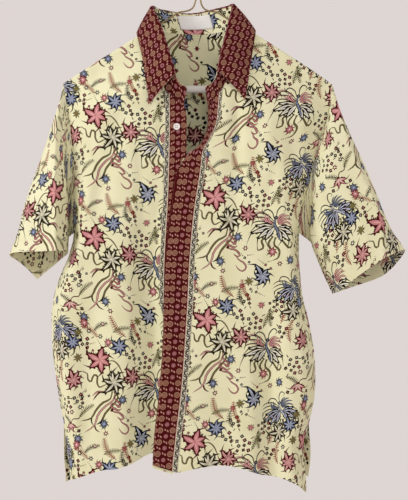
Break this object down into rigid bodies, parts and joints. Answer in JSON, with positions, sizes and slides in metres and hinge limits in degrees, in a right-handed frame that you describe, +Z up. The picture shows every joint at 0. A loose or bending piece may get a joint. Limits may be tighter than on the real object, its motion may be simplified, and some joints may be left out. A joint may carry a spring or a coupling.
{
  "type": "batik shirt on wire hanger",
  "caption": "Short-sleeved collared shirt with a batik print and a concealed button front, hanging open at the neck on a wire hanger with a card tube.",
  "frame": {"origin": "inside of the hook's top, where the rail passes, on the hanger's middle line", "axes": "+X towards the wearer's left, +Y towards the back of the shirt (its front faces -Y), +Z up"},
  "size_m": [0.6785, 0.1351, 0.9443],
  "materials": {
    "batik_cotton": "cream printed cotton, matte with a soft sheen",
    "batik_border_cotton": "maroon border print on the same cotton",
    "woven_label": "white woven, blank",
    "pearl_button": "pearl shell, glossy",
    "hanger_wire": "thin golden lacquer on steel wire",
    "hanger_card": "matte white card tube"
  },
  "bodies": {
    "root": {"back": "batik_cotton", "front_right": "batik_cotton", "front_left": "batik_cotton", "sleeve_right": "batik_cotton", "sleeve_left": "batik_cotton", "placket_right": "batik_border_cotton", "placket_left": "batik_border_cotton", "fly_strip": "batik_cotton", "collar_stand": "batik_border_cotton", "collar_leaf": "batik_border_cotton", "neck_label": "woven_label", "button_1": "pearl_button", "button_2": "pearl_button", "button_3": "pearl_button", "button_4": "pearl_button", "button_5": "pearl_button", "button_6": "pearl_button", "button_7": "pearl_button", "hanger_wire_hook": "hanger_wire", "hanger_wire_wrap": "hanger_wire", "hanger_tube": "hanger_card"}
  },
  "joints": []
}
